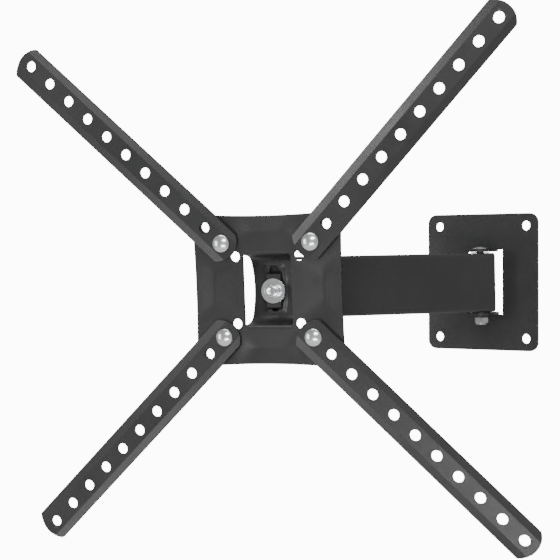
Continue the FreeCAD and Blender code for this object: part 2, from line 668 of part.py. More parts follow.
def make_tv_plate():
    sheet = plate_outline(PLATE_HALF_W, PLATE_HALF_H).extrude(Y * PLATE_T)
    sheet = moved(sheet, V(0, PLATE_FRONT, 0))
    spread = saddle_curve(0.0)["bend"][0][0]
    open_w = SADDLE_HALF_W + SADDLE_SIDE_GAP
    window = block(-open_w, open_w, -THROUGH, THROUGH, -SADDLE_WINDOW_HALF_H, SADDLE_WINDOW_HALF_H)
    strip = block(-SADDLE_HALF_W, SADDLE_HALF_W, -THROUGH, THROUGH, -spread, spread)
    sheet = sheet.cut(window).cut(strip)
    plate = sheet.fuse(make_saddle())
    for side in (1, -1):
        plate = plate.fuse(make_lip(side))
    outline = plate_outline(PLATE_HALF_W, PLATE_HALF_H).extrude(Y * 2 * THROUGH)
    outline = moved(outline, V(0, -THROUGH, 0))
    ribs = (("x", RIB_TOP_SLOPE, PLATE_HALF_H), ("z", RIB_SIDE_SLOPE, PLATE_HALF_W))
    for length_axis, slope, half in ribs:
        hollow = rib(length_axis, slope, half + RIB_OVER)
        wall = moved(hollow, V(0, PLATE_T, 0)).common(outline)
        for turn in (0, 180):
            plate = plate.fuse(turned(wall, V(0, 0, 0), Y, turn))
            plate = plate.cut(turned(hollow, V(0, 0, 0), Y, turn))
    slot_in = SADDLE_R - 2 * LIP_H
    slot_out = SADDLE_R + 2 * PLATE_T
    slot = saddle_ring(slot_in, slot_out, SLOT_W / 2, SLOT_HALF_DEG, -SADDLE_AXIS_OUT)
    plate = plate.cut(slot)
    for sx in (-1, 1):
        for sz in (-1, 1):
            bolt = V(sx * ARM_BOLT_HALF, -THROUGH, sz * ARM_BOLT_HALF)
            plate = plate.cut(rod(BOLT_D / 2 + PIN_PLAY, bolt, Y, 2 * THROUGH))
            for half in (INNER_HOLE_HALF, OUTER_HOLE_HALF):
                extra = V(sx * half, -THROUGH, sz * half)
                plate = plate.cut(rod(EXTRA_HOLE_D / 2, extra, Y, 2 * THROUGH))
    corners = []
    for e in plate.Edges:
        mid = e.CenterOfMass
        straight = len(e.Vertexes) == 2 and abs(e.Length - PLATE_T) < 0.01
        far_out = abs(mid.x) > PLATE_HALF_W - 1 and abs(mid.z) > PLATE_HALF_H - 1
        if straight and far_out:
            corners.append(e)
    plate = plate.makeFillet(PLATE_CORNER_R, corners)
    return on_plate(plate)


# ---- adapter arms and their bolts ----


def make_adapter_arm():
    """Lies along +X from its carriage bolt, web mid-plane at y = 0, strips bent forward."""
    half_t = ADAPTER_T / 2
    far = ADAPTER_FIRST + ADAPTER_PITCH * (ADAPTER_HOLES - 1) + ADAPTER_OUTER
    lean = math.radians(ADAPTER_STRIP_DEG)
    z1 = ADAPTER_FLAT
    z2 = ADAPTER_FLAT + ADAPTER_STRIP * math.cos(lean)
    rise = ADAPTER_STRIP * math.sin(lean)
    nose_z = ADAPTER_T * math.sin(lean)
    nose_y = ADAPTER_T * math.cos(lean)
    half = [(z1, half_t), (z2, half_t - rise), (z2 - nose_z, half_t - rise - nose_y)]
    half.append((z1 - ADAPTER_T * math.tan(lean / 2), -half_t))
    points = [V(0, y, z) for z, y in half]
    points += [V(0, y, -z) for z, y in reversed(half)]
    section = Part.Face(Part.makePolygon(points + [points[0]]))
    start = -ADAPTER_INNER
    arm = moved(section.extrude(X * (far + ADAPTER_INNER)), V(start, 0, 0))
    wide = z2 + 1
    for x_end, sign in ((far, 1), (start, -1)):
        centre = V(x_end - sign * ADAPTER_END_R, -THROUGH, 0)
        keep = rod(ADAPTER_END_R, centre, Y, 2 * THROUGH)
        reach = block(0, ADAPTER_END_R + 1, -THROUGH, THROUGH, -wide, wide)
        if sign < 0:
            reach = turned(reach, V(0, 0, 0), Z, 180)
        reach = moved(reach, V(x_end - sign * ADAPTER_END_R, 0, 0))
        arm = arm.cut(reach.cut(keep))
    for k in range(ADAPTER_HOLES):
        x = ADAPTER_FIRST + k * ADAPTER_PITCH
        arm = arm.cut(rod(ADAPTER_HOLE_D / 2, V(x, -THROUGH, 0), Y, 2 * THROUGH))
    return arm.cut(square_hole(V(0, -THROUGH, 0), Y, 2 * THROUGH))


def corner_place(shape, name):
    """Turns a piece about its carriage bolt and moves it to that corner of the plate."""
    angle = ADAPTER_ANGLES[name]
    sx = 1 if "right" in name else -1
    sz = 1 if "upper" in name else -1
    bolt = V(sx * ARM_BOLT_HALF, 0, sz * ARM_BOLT_HALF)
    return on_plate(moved(turned(shape, V(0, 0, 0), Y, -angle), bolt))


def make_arm_bolt():
    back = ADAPTER_T / 2 + PLATE_T + 2 * FACE_PLAY
    front = V(0, -ADAPTER_T / 2, 0)
    length = ADAPTER_T / 2 + back + WASHER_T + ARM_NUT_H + BOLT_PAST_NUT
    bolt = carriage_bolt(ARM_BOLT_HEAD_D, ARM_BOLT_HEAD_H, front, Y, ADAPTER_T, length)
    washer = ring(WASHER_D / 2, BOLT_D / 2, V(0, back, 0), Y, WASHER_T)
    hex_nut = nut(NUT_AF, ARM_NUT_H, BOLT_D, V(0, back + WASHER_T, 0), Y)
    return bolt, washer, hex_nut


# ---- the whole mount ----


def build():
    nodes = {
        "wall_plate": make_wall_plate(),
        "link_arm": make_link_arm(),
        "swivel_head": make_swivel_head(),
        "friction_pad": make_friction_pad(),
        "tv_plate": make_tv_plate(),
    }
    bolt, washer, lock = make_wall_hinge()
    nodes["wall_hinge_bolt"] = bolt
    nodes["wall_hinge_washer"] = washer
    nodes["wall_hinge_nut"] = lock
    bolt, washer, lock = make_head_hinge()
    nodes["head_hinge_bolt"] = bolt
    nodes["head_hinge_washer"] = washer
    nodes["head_hinge_nut"] = lock
    arm_face = ARM_H / 2 + FACE_PLAY
    nodes["wall_hinge_spacer_upper"] = make_spacer(WALL_AXIS, arm_face)
    nodes["wall_hinge_spacer_lower"] = make_spacer(WALL_AXIS, -arm_face - SPACER_T)
    tab_face = TAB_OUT + FACE_PLAY
    nodes["head_hinge_spacer_upper"] = make_spacer(HEAD_AXIS, tab_face)
    nodes["head_hinge_spacer_lower"] = make_spacer(HEAD_AXIS, -tab_face - SPACER_T)
    nodes.update(make_tilt_clamp())
    adapter = make_adapter_arm()
    bolt, washer, hex_nut = make_arm_bolt()
    for name in ADAPTER_ANGLES:
        nodes["adapter_arm_" + name] = corner_place(adapter, name)
        nodes["arm_bolt_" + name] = corner_place(bolt, name)
        nodes["arm_washer_" + name] = corner_place(washer, name)
        nodes["arm_nut_" + name] = corner_place(hex_nut, name)
    return nodes


os.makedirs("parts", exist_ok=True)
for node, shape in build().items():
    shape.exportStep("parts/" + node + ".step")
    print(node, "solids", len(shape.Solids), "valid", shape.isValid(), "volume", round(shape.Volume, 1))
print("wall axis", WALL_AXIS, "head axis", HEAD_AXIS)
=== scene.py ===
import json
import math

import bmesh
import bpy
import numpy as np
from mathutils import Matrix, Vector


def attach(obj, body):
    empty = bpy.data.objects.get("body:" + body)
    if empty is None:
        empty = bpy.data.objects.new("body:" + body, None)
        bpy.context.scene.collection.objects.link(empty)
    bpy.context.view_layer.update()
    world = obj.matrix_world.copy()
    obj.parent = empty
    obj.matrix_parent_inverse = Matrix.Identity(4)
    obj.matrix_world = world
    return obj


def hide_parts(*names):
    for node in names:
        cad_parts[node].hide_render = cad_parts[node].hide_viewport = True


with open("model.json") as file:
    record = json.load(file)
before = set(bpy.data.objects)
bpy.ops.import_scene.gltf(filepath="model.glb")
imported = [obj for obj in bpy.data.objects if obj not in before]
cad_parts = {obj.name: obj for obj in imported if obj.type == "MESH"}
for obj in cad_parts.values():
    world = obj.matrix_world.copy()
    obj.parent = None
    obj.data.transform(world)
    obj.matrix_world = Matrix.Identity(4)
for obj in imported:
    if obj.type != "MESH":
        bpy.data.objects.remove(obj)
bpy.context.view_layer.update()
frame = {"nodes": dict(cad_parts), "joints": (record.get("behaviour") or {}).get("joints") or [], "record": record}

mm = 0.001
joints = {j["name"]: j for j in frame["joints"]}
mounts = {m["name"]: m for m in frame["record"]["mounts"]}
corners = ("upper_left", "upper_right", "lower_left", "lower_right")


def unit(v):
    # a direction divided by its own length
    v = np.asarray(v, float)
    return v / np.linalg.norm(v)


def axesAt(origin, right, out):
    # a 4x4 matrix with x to the right, y away from the viewer and z = x cross y
    x = unit(right)
    y = -unit(out)
    m = np.eye(4)
    m[:3, 0] = x
    m[:3, 1] = y
    m[:3, 2] = np.cross(x, y)
    m[:3, 3] = origin
    return m


boltAt = {c: np.array(joints["swivel_" + c]["pos_m"]) for c in corners}
plateOut = unit(joints["swivel_upper_left"]["axis"])
plateRight = unit(joints["tilt"]["axis"])
plateFrame = axesAt(np.mean([boltAt[c] for c in corners], axis=0), plateRight, plateOut)
wallAxis = np.array(joints["wall_pan"]["pos_m"])
headAxis = np.array(joints["head_pan"]["pos_m"])
tiltCentre = np.array(joints["tilt"]["pos_m"])
up = unit(joints["wall_pan"]["axis"])  # the hinge's own upright, which leans a little
reach = tiltCentre - headAxis
headOut = unit(reach - up * (reach @ up))
headRight = np.cross(-headOut, up)
headFrame = axesAt(headAxis + up * (reach @ up), headRight, headOut)


def adapterFrame(corner):
    # x runs along the arm from its bolt, y away from the viewer
    along = np.array(mounts["tv_hole_" + corner]["pos_m"]) - boltAt[corner]
    return axesAt(boltAt[corner], along, plateOut)


def placed(points, place):
    # millimetres in a piece's own axes to metres in the row frame
    return points.reshape(-1, 3) * mm @ place[:3, :3].T + place[:3, 3]


def meshObject(name, points, faces, smooth=True):
    # a new object at the origin, its place in its points
    mesh = bpy.data.meshes.new(name)
    mesh.from_pydata(points.tolist(), [], faces.tolist() if hasattr(faces, "tolist") else faces)
    mesh.validate()
    if smooth:
        mesh.shade_smooth()
    obj = bpy.data.objects.new(name, mesh)
    bpy.context.scene.collection.objects.link(obj)
    return obj


def gridFaces(rows, cols, closeRows=False, closeCols=False):
    # quads between neighbouring points of a rows x cols grid, joined round where asked
    r = np.arange(rows if closeRows else rows - 1)
    c = np.arange(cols if closeCols else cols - 1)
    a, b = np.meshgrid(r, c, indexing="ij")
    a2 = (a + 1) % rows
    b2 = (b + 1) % cols
    return np.stack([a * cols + b, a2 * cols + b, a2 * cols + b2, a * cols + b2], -1).reshape(-1, 4)


def closedSheet(name, front, back, place):
    # a sheet between two grids of points of one size: both faces, joined round their rims
    rows, cols = front.shape[:2]
    n = rows * cols
    i = np.arange(rows)
    j = np.arange(cols)
    rim = np.concatenate([
        i * cols,
        (rows - 1) * cols + j[1:],
        (rows - 1 - i[1:]) * cols + cols - 1,
        cols - 1 - j[1:-1],
    ])
    rim2 = np.roll(rim, -1)
    walls = np.stack([rim, rim2, rim2 + n, rim + n], -1)
    faces = gridFaces(rows, cols)
    points = np.vstack([front.reshape(-1, 3), back.reshape(-1, 3)])
    return outward(meshObject(name, placed(points, place), np.vstack([faces, faces[:, ::-1] + n, walls])))


def outward(obj):
    # merges doubles and turns every face outwards
    bm = bmesh.new()
    bm.from_mesh(obj.data)
    bmesh.ops.remove_doubles(bm, verts=bm.verts, dist=0.01 * mm)
    bmesh.ops.recalc_face_normals(bm, faces=bm.faces)
    bm.to_mesh(obj.data)
    bm.free()
    return obj


def applyAll(obj):
    # makes the modifiers' result the mesh itself
    view = bpy.context.evaluated_depsgraph_get()
    view.update()
    made = bpy.data.meshes.new_from_object(obj.evaluated_get(view))
    old = obj.data
    obj.modifiers.clear()
    obj.data = made
    made.name = old.name
    bpy.data.meshes.remove(old)
    return obj


def cutWith(obj, cutter, how="DIFFERENCE"):
    # takes the cutter from the piece, or keeps what they share, and drops the cutter
    m = obj.modifiers.new("cut", "BOOLEAN")
    m.operation = how
    m.solver = "EXACT"
    m.object = cutter
    applyAll(obj)
    bpy.data.objects.remove(cutter)
    return obj


def softEdges(obj, width=0.3, segments=2, angle=32):
    # a small round on every sharp edge, then smooth shading that follows the larger faces
    m = obj.modifiers.new("edges", "BEVEL")
    m.width = width * mm
    m.segments = segments
    m.limit_method = "ANGLE"
    m.angle_limit = math.radians(angle)
    m.use_clamp_overlap = True
    applyAll(obj)
    obj.data.shade_smooth()
    flat = obj.modifiers.new("flats", "WEIGHTED_NORMAL")
    flat.mode = "FACE_AREA_WITH_ANGLE"
    flat.weight = 80
    flat.keep_sharp = False
    applyAll(obj)
    return obj


def smoothBelow(obj, degrees):
    # smooth shading, with a hard line at every edge sharper than the given angle
    obj.data.shade_smooth()
    obj.data.set_sharp_from_angle(angle=math.radians(degrees))
    return obj


def prism(name, outline, low, high, place):
    # an outline in x and z carried straight through y; low and high are its ends
    n = len(outline)
    flat = np.asarray(outline, float)
    ends = [np.column_stack([flat[:, 0], np.full(n, y), flat[:, 1]]) for y in (low, high)]
    faces = [list(range(n)), list(range(2 * n - 1, n - 1, -1))]
    k = np.arange(n)
    faces += np.stack([k, k + n, (k + 1) % n + n, (k + 1) % n], -1).tolist()
    return outward(meshObject(name, placed(np.vstack(ends), place), faces, smooth=False))


def circle(cx, cz, r, steps=48):
    # points at equal angles round a centre in x and z
    a = np.arange(steps) * 2 * np.pi / steps
    return np.column_stack([cx + r * np.cos(a), cz + r * np.sin(a)])


def box2d(x0, x1, z0, z1):
    # a rectangle's corners in x and z
    return np.array([(x0, z0), (x1, z0), (x1, z1), (x0, z1)], float)


def joined(name, objs):
    # several closed shells in one object
    bm = bmesh.new()
    for o in objs:
        bm.from_mesh(o.data)
    mesh = bpy.data.meshes.new(name)
    bm.to_mesh(mesh)
    bm.free()
    for o in objs:
        bpy.data.objects.remove(o)
    obj = bpy.data.objects.new(name, mesh)
    bpy.context.scene.collection.objects.link(obj)
    return obj


def turnedPiece(name, profile, place, steps=64):
    # a closed outline of (distance from the axis, height) carried round the y axis, front is -y
    p = np.asarray(profile, float)
    a = np.arange(steps) * 2 * np.pi / steps
    x = np.outer(np.cos(a), p[:, 0])
    z = np.outer(np.sin(a), p[:, 0])
    y = np.broadcast_to(-p[:, 1], x.shape)
    pts = np.stack([x, y, z], -1)
    return outward(meshObject(name, placed(pts, place), gridFaces(steps, len(p), True, True)))


def softCopy(node, width=0.3, segments=2):
    # the CAD node's own shape with its flat faces joined up and its sharp edges rounded
    src = frame["nodes"][node]
    obj = bpy.data.objects.new(node + "_finished", src.data.copy())
    bpy.context.scene.collection.objects.link(obj)
    obj.data.materials.clear()
    bm = bmesh.new()
    bm.from_mesh(obj.data)
    bmesh.ops.remove_doubles(bm, verts=bm.verts, dist=0.005 * mm)
    bmesh.ops.dissolve_limit(bm, angle_limit=math.radians(0.6), verts=bm.verts, edges=bm.edges)
    bm.to_mesh(obj.data)
    bm.free()
    return softEdges(obj, width, segments)


def newGroup(name, inputs, outputs):
    # an empty shader group with its inputs, outputs and their end nodes
    g = bpy.data.node_groups.new(name, "ShaderNodeTree")
    for label, kind, value in inputs:
        s = g.interface.new_socket(label, in_out="INPUT", socket_type=kind)
        s.default_value = value
    for label, kind in outputs:
        g.interface.new_socket(label, in_out="OUTPUT", socket_type=kind)
    return g, g.nodes.new("NodeGroupInput"), g.nodes.new("NodeGroupOutput")


def addNode(tree, kind, settings=None, **sockets):
    # a node with some properties and socket values set; an underscore stands for a space
    n = tree.nodes.new(kind)
    for key, value in (settings or {}).items():
        setattr(n, key, value)
    for key, value in sockets.items():
        n.inputs[key.replace("_", " ")].default_value = value
    return n


def ramp(tree, low, high, lowValue, highValue):
    # a straight map from one span to another, held at its ends
    n = tree.nodes.new("ShaderNodeMapRange")
    n.inputs["From Min"].default_value = low
    n.inputs["From Max"].default_value = high
    n.inputs["To Min"].default_value = lowValue
    n.inputs["To Max"].default_value = highValue
    return n


powder = {"wave": 260.0, "cloud": 22.0, "scuff": 75.0, "scuffFrom": 0.60, "scuffTo": 0.74}


def makePowderGrain(p):
    # orange peel of a baked powder coat: fine bumps over slower waves, with a cloudy tone
    g, gi, go = newGroup(
        "powderGrain",
        [("Grain", "NodeSocketFloat", 900.0), ("Depth", "NodeSocketFloat", 0.6)],
        [("Tone", "NodeSocketFloat"), ("Height", "NodeSocketFloat"), ("Scuff", "NodeSocketFloat")],
    )
    co = g.nodes.new("ShaderNodeTexCoord")
    fine = addNode(g, "ShaderNodeTexNoise", Detail=3.0, Roughness=0.55)
    wave = addNode(g, "ShaderNodeTexNoise", Scale=p["wave"], Detail=2.0, Roughness=0.5)
    cloud = addNode(g, "ShaderNodeTexNoise", Scale=p["cloud"], Detail=4.0, Roughness=0.6)
    scuff = addNode(g, "ShaderNodeTexNoise", Scale=p["scuff"], Detail=6.0, Roughness=0.7, Distortion=1.2)
    for n in (fine, wave, cloud, scuff):
        g.links.new(co.outputs["Object"], n.inputs["Vector"])
    g.links.new(gi.outputs["Grain"], fine.inputs["Scale"])
    mix = addNode(g, "ShaderNodeMath", {"operation": "MULTIPLY_ADD"})
    g.links.new(wave.outputs["Fac"], mix.inputs[0])
    g.links.new(gi.outputs["Depth"], mix.inputs[1])
    g.links.new(fine.outputs["Fac"], mix.inputs[2])
    g.links.new(mix.outputs[0], go.inputs["Height"])
    g.links.new(cloud.outputs["Fac"], go.inputs["Tone"])
    mask = ramp(g, p["scuffFrom"], p["scuffTo"], 0.0, 1.0)
    g.links.new(scuff.outputs["Fac"], mask.inputs["Value"])
    g.links.new(mask.outputs["Result"], go.inputs["Scuff"])
    return g


def makeTurnedRings():
    # fine rings round the piece's own axis, and a cloudy tarnish
    g, gi, go = newGroup(
        "turnedRings",
        [("Vector", "NodeSocketVector", (0, 0, 0)), ("Rings", "NodeSocketFloat", 900.0)],
        [("Rings", "NodeSocketFloat"), ("Tone", "NodeSocketFloat")],
    )
    sep = g.nodes.new("ShaderNodeSeparateXYZ")
    g.links.new(gi.outputs["Vector"], sep.inputs[0])
    flat = g.nodes.new("ShaderNodeCombineXYZ")
    g.links.new(sep.outputs["X"], flat.inputs["X"])
    g.links.new(sep.outputs["Z"], flat.inputs["Y"])
    length = addNode(g, "ShaderNodeVectorMath", {"operation": "LENGTH"})
    g.links.new(flat.outputs[0], length.inputs[0])
    bend = addNode(g, "ShaderNodeTexNoise", {"noise_dimensions": "1D"}, Detail=4.0, Roughness=0.7)
    g.links.new(length.outputs["Value"], bend.inputs["W"])
    g.links.new(gi.outputs["Rings"], bend.inputs["Scale"])
    g.links.new(bend.outputs["Fac"], go.inputs["Rings"])
    tone = addNode(g, "ShaderNodeTexNoise", Scale=180.0, Detail=3.0, Roughness=0.6)
    g.links.new(gi.outputs["Vector"], tone.inputs["Vector"])
    g.links.new(tone.outputs["Fac"], go.inputs["Tone"])
    return g


powderGrain = makePowderGrain(powder)
turnedRings = makeTurnedRings()


def principled(name, settings):
    # a new material, its tree and its shader, with the shader's own values set
    m = bpy.data.materials.new(name)
    m.use_nodes = True
    shader = m.node_tree.nodes["Principled BSDF"]
    for key, value in settings.items():
        shader.inputs[key].default_value = value
    return m, m.node_tree, shader


def colourMix(tree, fac, dark, light):
    # dark where the mask is 0, light where it is 1
    n = tree.nodes.new("ShaderNodeMix")
    n.data_type = "RGBA"
    n.inputs["A"].default_value = (*dark, 1)
    n.inputs["B"].default_value = (*light, 1)
    tree.links.new(fac, n.inputs["Factor"])
    return n


def bumpOf(tree, height, strength, distance):
    # a normal tilted by a height's slope, in metres
    n = addNode(tree, "ShaderNodeBump", Strength=strength, Distance=distance)
    tree.links.new(height, n.inputs["Height"])
    return n


blackCoat = {
    "dark": (0.0205, 0.0205, 0.0215), "light": (0.029, 0.029, 0.0305),
    "smoothest": 0.30, "roughest": 0.42, "scuffed": 0.07, "grain": 1150.0, "bump": 0.16,
    "coat": 0.12, "coatRoughness": 0.22,
}


def makeBlackCoat(name, values):
    # baked powder coat: the cloud sets its tone and gloss, scuffs dull it, the grain lifts it
    m, tree, shader = principled(name, {
        "Specular IOR Level": 0.5,
        "Coat Weight": values["coat"],
        "Coat Roughness": values["coatRoughness"],
    })
    grain = tree.nodes.new("ShaderNodeGroup")
    grain.node_tree = powderGrain
    grain.inputs["Grain"].default_value = values["grain"]
    tone = colourMix(tree, grain.outputs["Tone"], values["dark"], values["light"])
    tree.links.new(tone.outputs["Result"], shader.inputs["Base Color"])
    rough = ramp(tree, 0.3, 0.7, values["smoothest"], values["roughest"])
    tree.links.new(grain.outputs["Tone"], rough.inputs["Value"])
    lift = addNode(tree, "ShaderNodeMath", {"operation": "MULTIPLY_ADD"})
    lift.inputs[1].default_value = values["scuffed"]
    tree.links.new(grain.outputs["Scuff"], lift.inputs[0])
    tree.links.new(rough.outputs["Result"], lift.inputs[2])
    tree.links.new(lift.outputs[0], shader.inputs["Roughness"])
    bump = bumpOf(tree, grain.outputs["Height"], values["bump"], 0.0002)
    tree.links.new(bump.outputs["Normal"], shader.inputs["Normal"])
    return m


platedSteel = {
    "bright": {
        "dark": (0.70, 0.71, 0.73), "light": (0.93, 0.94, 0.95),
        "smoothest": 0.14, "roughest": 0.27, "bump": 0.05,
    },
    "zinc": {
        "dark": (0.46, 0.47, 0.49), "light": (0.70, 0.71, 0.72),
        "smoothest": 0.24, "roughest": 0.42, "bump": 0.10,
    },
}
boltRings = 500.0  # rings per metre on a domed head
nutRings = 700.0


def makePlated(name, values, place, rings=nutRings):
    # plated steel, its rings centred on the piece by a Mapping node
    m, tree, shader = principled(name, {"Metallic": 1.0})
    co = tree.nodes.new("ShaderNodeTexCoord")
    mapping = addNode(tree, "ShaderNodeMapping", {"vector_type": "TEXTURE"})
    turn = Matrix(place.tolist()).to_3x3().to_euler()
    mapping.inputs["Location"].default_value = place[:3, 3]
    mapping.inputs["Rotation"].default_value = turn
    tree.links.new(co.outputs["Object"], mapping.inputs["Vector"])
    marks = tree.nodes.new("ShaderNodeGroup")
    marks.node_tree = turnedRings
    marks.inputs["Rings"].default_value = rings
    tree.links.new(mapping.outputs["Vector"], marks.inputs["Vector"])
    tone = colourMix(tree, marks.outputs["Tone"], values["dark"], values["light"])
    tree.links.new(tone.outputs["Result"], shader.inputs["Base Color"])
    rough = ramp(tree, 0.25, 0.75, values["smoothest"], values["roughest"])
    tree.links.new(marks.outputs["Rings"], rough.inputs["Value"])
    tree.links.new(rough.outputs["Result"], shader.inputs["Roughness"])
    bump = bumpOf(tree, marks.outputs["Rings"], values["bump"], 0.0003)
    tree.links.new(bump.outputs["Normal"], shader.inputs["Normal"])
    return m


def makePlain(name, dark, light, roughness, scale):
    # moulded or pressed non-metal with a fine mottled surface
    m, tree, shader = principled(name, {})
    co = tree.nodes.new("ShaderNodeTexCoord")
    noise = addNode(tree, "ShaderNodeTexNoise", Scale=scale, Detail=5.0, Roughness=0.6)
    tree.links.new(co.outputs["Object"], noise.inputs["Vector"])
    tone = colourMix(tree, noise.outputs["Fac"], dark, light)
    tree.links.new(tone.outputs["Result"], shader.inputs["Base Color"])
    rough = ramp(tree, 0.3, 0.7, roughness - 0.08, roughness + 0.08)
    tree.links.new(noise.outputs["Fac"], rough.inputs["Value"])
    tree.links.new(rough.outputs["Result"], shader.inputs["Roughness"])
    bump = bumpOf(tree, noise.outputs["Fac"], 0.12, 0.0003)
    tree.links.new(bump.outputs["Normal"], shader.inputs["Normal"])
    return m


coat = makeBlackCoat("satin_black_coat", blackCoat)
nylon = makePlain("black_nylon", (0.014, 0.014, 0.015), (0.03, 0.03, 0.032), 0.45, 500.0)
fibre = makePlain("friction_fibre", (0.02, 0.018, 0.017), (0.055, 0.05, 0.047), 0.8, 900.0)
print("materials made")


def finish(obj, material, body, slotName, *nodes):
    # one material over the piece, its body and the CAD nodes it stands for; slotName is not used
    obj.data.materials.clear()
    obj.data.materials.append(material)
    obj.data.polygons.foreach_set("material_index", np.zeros(len(obj.data.polygons), np.int32))
    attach(obj, body)
    if nodes:
        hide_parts(*nodes)
    return obj


plate = {
    "halfWide": 63.6, "halfHigh": 62.2, "thick": 2.5, "sideDip": 0.8, "topDip": 1.8, "cornerRound": 12.0,
    "front": 1.1,  # the front face stands this far behind the adapter arms' middle
    "valley": 47.5, "valleyDeep": 2.2, "topSlope": 14.0, "sideSlope": 25.0, "outerSlope": 15.5,
    "ribHalf": 27.0, "endSlope": 13.0, "valleySoft": 0.35, "footSoft": 1.1,
    "gridStep": 0.8, "edgeRound": 0.35,
    "windowHalfWide": 20.8, "windowHalfHigh": 28.4,
    "boltHole": 3.225, "boltHalf": 38.5, "extraHole": 4.25, "extraHalf": (27.5, 52.36),
}
saddle = {
    "halfWide": 19.4, "depth": 21.8, "arc": 45.0, "cornerR": 11.0, "lean": 12.0, "bend": 3.2,
    "slotHalfWide": 4.3, "slotHalfDeg": 25.0, "lipTop": 2.2, "lipSlope": 3.4, "lipHigh": 1.3,
    "lipBack": 0.6,  # how much of the lip's height shows on the back
    "lipRunOut": 3.0,  # degrees of arc over which the lip rises from nothing
    "slotCut": (5.0, 40.0),  # the slot's cutter starts and ends this far behind the plate
    "edgeRound": 0.3,
}
cutReach = 15.0  # cutters reach this far before and behind the plate's carriage bolt plane


def softMin(a, b, k):
    # the smaller of two values, with a round of size k where they cross
    h = np.clip(0.5 + 0.5 * (b - a) / k, 0, 1)
    return b * (1 - h) + a * h - k * h * (1 - h)


def valleyDepth(along, across, slope, p):
    # a pressed valley: the least of its inner, outer and end slopes, softened, and never under 0
    inner = (across - p["valley"] + slope) / slope * p["valleyDeep"]
    outer = (p["valley"] + p["outerSlope"] - across) / p["outerSlope"] * p["valleyDeep"]
    end = (p["ribHalf"] - np.abs(along)) / p["endSlope"] * p["valleyDeep"]
    d = softMin(softMin(inner, outer, p["valleySoft"]), end, p["footSoft"])
    return -softMin(-d, np.zeros_like(d), p["footSoft"])


def plateOutline(p, steps=28):
    # four sides drawn in by a shallow bow, joined by quarter rounds
    w, h, r = p["halfWide"], p["halfHigh"], p["cornerRound"]
    pts = []
    for sx, sz, a0 in ((1, 1, 0), (-1, 1, 90), (-1, -1, 180), (1, -1, 270)):
        a = np.radians(a0 + np.linspace(0, 90, 13))
        pts.append(np.column_stack([sx * (w - r) + r * np.cos(a), sz * (h - r) + r * np.sin(a)]))
        t = np.linspace(-1, 1, steps)[1:-1]
        if a0 in (0, 180):
            dip = p["topDip"] * (1 - t**2)
            pts.append(np.column_stack([-sx * t * (w - r), sz * (h - dip)]))
        else:
            dip = p["sideDip"] * (1 - t**2)
            pts.append(np.column_stack([sx * (w - dip), -sz * t * (h - r)]))
    return np.vstack(pts)


def makePlateSheet(p):
    # a square sheet whose depth is the sum of its four valleys, cut to the outline and pierced
    half = max(p["halfWide"], p["halfHigh"]) + 3
    n = int(2 * half / p["gridStep"])
    x, z = np.meshgrid(np.linspace(-half, half, n), np.linspace(-half, half, n), indexing="ij")
    deep = valleyDepth(x, np.abs(z), p["topSlope"], p) + valleyDepth(z, np.abs(x), p["sideSlope"], p)
    front = np.stack([x, p["front"] + deep, z], -1)
    obj = closedSheet("tvPlateSheet", front, front + (0, p["thick"], 0), plateFrame)
    cutWith(obj, prism("outline", plateOutline(p), -cutReach - 5, cutReach + 5, plateFrame), "INTERSECT")
    w, h = p["windowHalfWide"], p["windowHalfHigh"]
    holes = [prism("window", box2d(-w, w, -h, h), -cutReach, cutReach, plateFrame)]
    spread = saddleStart()[0]
    for s in (-1, 1):  # the saddle takes the sheet's place from the window to its bend
        edges = sorted((s * (h - 0.01), s * spread))
        root = box2d(-saddle["halfWide"], saddle["halfWide"], *edges)
        holes.append(prism("root", root, -cutReach - 0.5, cutReach + 0.5, plateFrame))
    reach = cutReach - 1
    drilled = [("bolt", p["boltHalf"], p["boltHole"])]
    drilled += [("extra", e, p["extraHole"]) for e in p["extraHalf"]]
    for sx in (-1, 1):
        for sz in (-1, 1):
            for name, half, r in drilled:
                holes.append(prism(name, circle(sx * half, sz * half, r), -reach, reach, plateFrame))
    for cutter in holes:
        cutWith(obj, cutter)
    return softEdges(obj, p["edgeRound"], 2, 45)


def saddleStart():
    # where the bend leaves the plate, and the centres of the bend, of the corner and of the arc:
    # the wall leans by a fixed angle, and the corner's centre lies on a line beside it, at the
    # arc's radius less the corner's from the arc's centre
    s = saddle
    lean = math.radians(s["lean"])
    out = np.array([math.cos(lean), math.sin(lean)])
    down = np.array([-math.sin(lean), math.cos(lean)])
    tilt = np.array([0.0, s["depth"] - s["arc"]])
    base = np.array([plate["windowHalfHigh"] + math.tan(lean) * s["bend"], 0.0])
    start = base - out * s["cornerR"]
    rel = start - tilt
    b = rel @ down
    along = -b + math.sqrt(b * b - rel @ rel + (s["arc"] - s["cornerR"]) ** 2)
    corner = start + down * along
    shift = (s["bend"] - (s["bend"] - base[1]) * out[1]) / out[0]
    bend = np.array([base[0] + shift, s["bend"]])
    return bend[0], bend, corner, tilt


def saddleCurve(offset):
    # points (up, behind the plate's front) from the plate to the middle, moved back by offset
    s = saddle
    _, bend, corner, tilt = saddleStart()
    toCorner = math.degrees(math.atan2(corner[1] - tilt[1], corner[0]))

    def run(centre, radius, a0, a1, n):
        # points on an arc between two angles
        a = np.radians(np.linspace(a0, a1, n))
        return centre + radius * np.column_stack([np.cos(a), np.sin(a)])

    return np.vstack([
        run(bend, s["bend"] - offset, 270, 180 + s["lean"], 12),
        run(corner, s["cornerR"] + offset, s["lean"], toCorner, 18),
        run(tilt, s["arc"] + offset, toCorner, 90, 26)[1:],
    ])


